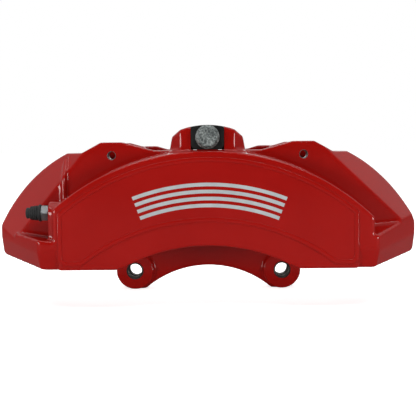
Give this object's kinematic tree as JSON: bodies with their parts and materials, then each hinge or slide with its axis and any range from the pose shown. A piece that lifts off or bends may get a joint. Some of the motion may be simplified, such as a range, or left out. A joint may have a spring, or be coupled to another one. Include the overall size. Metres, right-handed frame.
{
  "type": "brake caliper",
  "caption": "Fixed opposed-piston disc brake caliper with a smooth red outer face, a removable centre bridge, end bleed screws and two threaded mounting ears.",
  "frame": {"origin": "middle of the bounding box at the lowest point of the mounting ears, half way through the depth", "axes": "+X along the disc's rim, to the right when the outer face is seen; -Y towards the wheel, +Y towards the hub; +Z away from the axle"},
  "size_m": [0.356, 0.144, 0.1505],
  "materials": {
    "red_paint": "gloss red paint with clear coat over cast aluminium, bare where machined",
    "black_steel": "satin black coated steel",
    "zinc_flake": "matt grey zinc-flake coating, slightly speckled",
    "plated_steel": "bright zinc plating",
    "stainless": "rolled stainless sheet",
    "piston_alloy": "turned and hard anodised, clear",
    "seal_rubber": "moulded rubber",
    "cap_rubber": "matt moulded rubber with ribs"
  },
  "bodies": {
    "caliper_body": {"outboard_half": "red_paint", "inboard_half": "red_paint", "centre_bridge": "black_steel", "piston_seal_outboard_1": "seal_rubber", "dust_boot_outboard_1": "seal_rubber", "piston_seal_outboard_2": "seal_rubber", "dust_boot_outboard_2": "seal_rubber", "piston_seal_outboard_3": "seal_rubber", "dust_boot_outboard_3": "seal_rubber", "bridge_bolt_outboard": "zinc_flake", "abutment_plate_outboard_left": "stainless", "abutment_screw_outboard_left": "stainless", "abutment_plate_outboard_right": "stainless", "abutment_screw_outboard_right": "stainless", "piston_seal_inboard_1": "seal_rubber", "dust_boot_inboard_1": "seal_rubber", "piston_seal_inboard_2": "seal_rubber", "dust_boot_inboard_2": "seal_rubber", "piston_seal_inboard_3": "seal_rubber", "dust_boot_inboard_3": "seal_rubber", "bridge_bolt_inboard": "zinc_flake", "abutment_plate_inboard_left": "stainless", "abutment_screw_inboard_left": "stainless", "abutment_plate_inboard_right": "stainless", "abutment_screw_inboard_right": "stainless", "body_bolt_left_1": "zinc_flake", "body_bolt_left_2": "zinc_flake", "body_bolt_right_1": "zinc_flake", "body_bolt_right_2": "zinc_flake", "crossover_seal_left": "seal_rubber", "crossover_seal_right": "seal_rubber"},
    "piston_outboard_1": {"piston_outboard_1": "piston_alloy"},
    "piston_outboard_2": {"piston_outboard_2": "piston_alloy"},
    "piston_outboard_3": {"piston_outboard_3": "piston_alloy"},
    "bleed_screw_outboard": {"bleed_screw_outboard": "plated_steel"},
    "bleed_cap_outboard": {"bleed_cap_outboard": "cap_rubber"},
    "piston_inboard_1": {"piston_inboard_1": "piston_alloy"},
    "piston_inboard_2": {"piston_inboard_2": "piston_alloy"},
    "piston_inboard_3": {"piston_inboard_3": "piston_alloy"},
    "bleed_screw_inboard": {"bleed_screw_inboard": "plated_steel"},
    "bleed_cap_inboard": {"bleed_cap_inboard": "cap_rubber"}
  },
  "joints": [
    {"name": "piston_slide_outboard_1", "type": "slide", "parent": "caliper_body", "child": "piston_outboard_1", "axis": [0, 1, 0], "range_m": [0, 0.012]},
    {"name": "piston_slide_outboard_2", "type": "slide", "parent": "caliper_body", "child": "piston_outboard_2", "axis": [0, 1, 0], "range_m": [0, 0.012]},
    {"name": "piston_slide_outboard_3", "type": "slide", "parent": "caliper_body", "child": "piston_outboard_3", "axis": [0, 1, 0], "range_m": [0, 0.012]},
    {"name": "bleed_turn_outboard", "type": "hinge", "parent": "caliper_body", "child": "bleed_screw_outboard", "pos_m": [-0.13, -0.055, 0.0798], "axis": [-1, 0, 0], "range_deg": [0, 180]},
    {"name": "cap_pull_outboard", "type": "slide", "parent": "bleed_screw_outboard", "child": "bleed_cap_outboard", "axis": [-1, 0, 0], "range_m": [0, 0.02]},
    {"name": "piston_slide_inboard_1", "type": "slide", "parent": "caliper_body", "child": "piston_inboard_1", "axis": [0, -1, 0], "range_m": [0, 0.012]},
    {"name": "piston_slide_inboard_2", "type": "slide", "parent": "caliper_body", "child": "piston_inboard_2", "axis": [0, -1, 0], "range_m": [0, 0.012]},
    {"name": "piston_slide_inboard_3", "type": "slide", "parent": "caliper_body", "child": "piston_inboard_3", "axis": [0, -1, 0], "range_m": [0, 0.012]},
    {"name": "bleed_turn_inboard", "type": "hinge", "parent": "caliper_body", "child": "bleed_screw_inboard", "pos_m": [-0.13, 0.055, 0.0798], "axis": [-1, 0, 0], "range_deg": [0, 180]},
    {"name": "cap_pull_inboard", "type": "slide", "parent": "bleed_screw_inboard", "child": "bleed_cap_inboard", "axis": [-1, 0, 0], "range_m": [0, 0.02]}
  ]
}
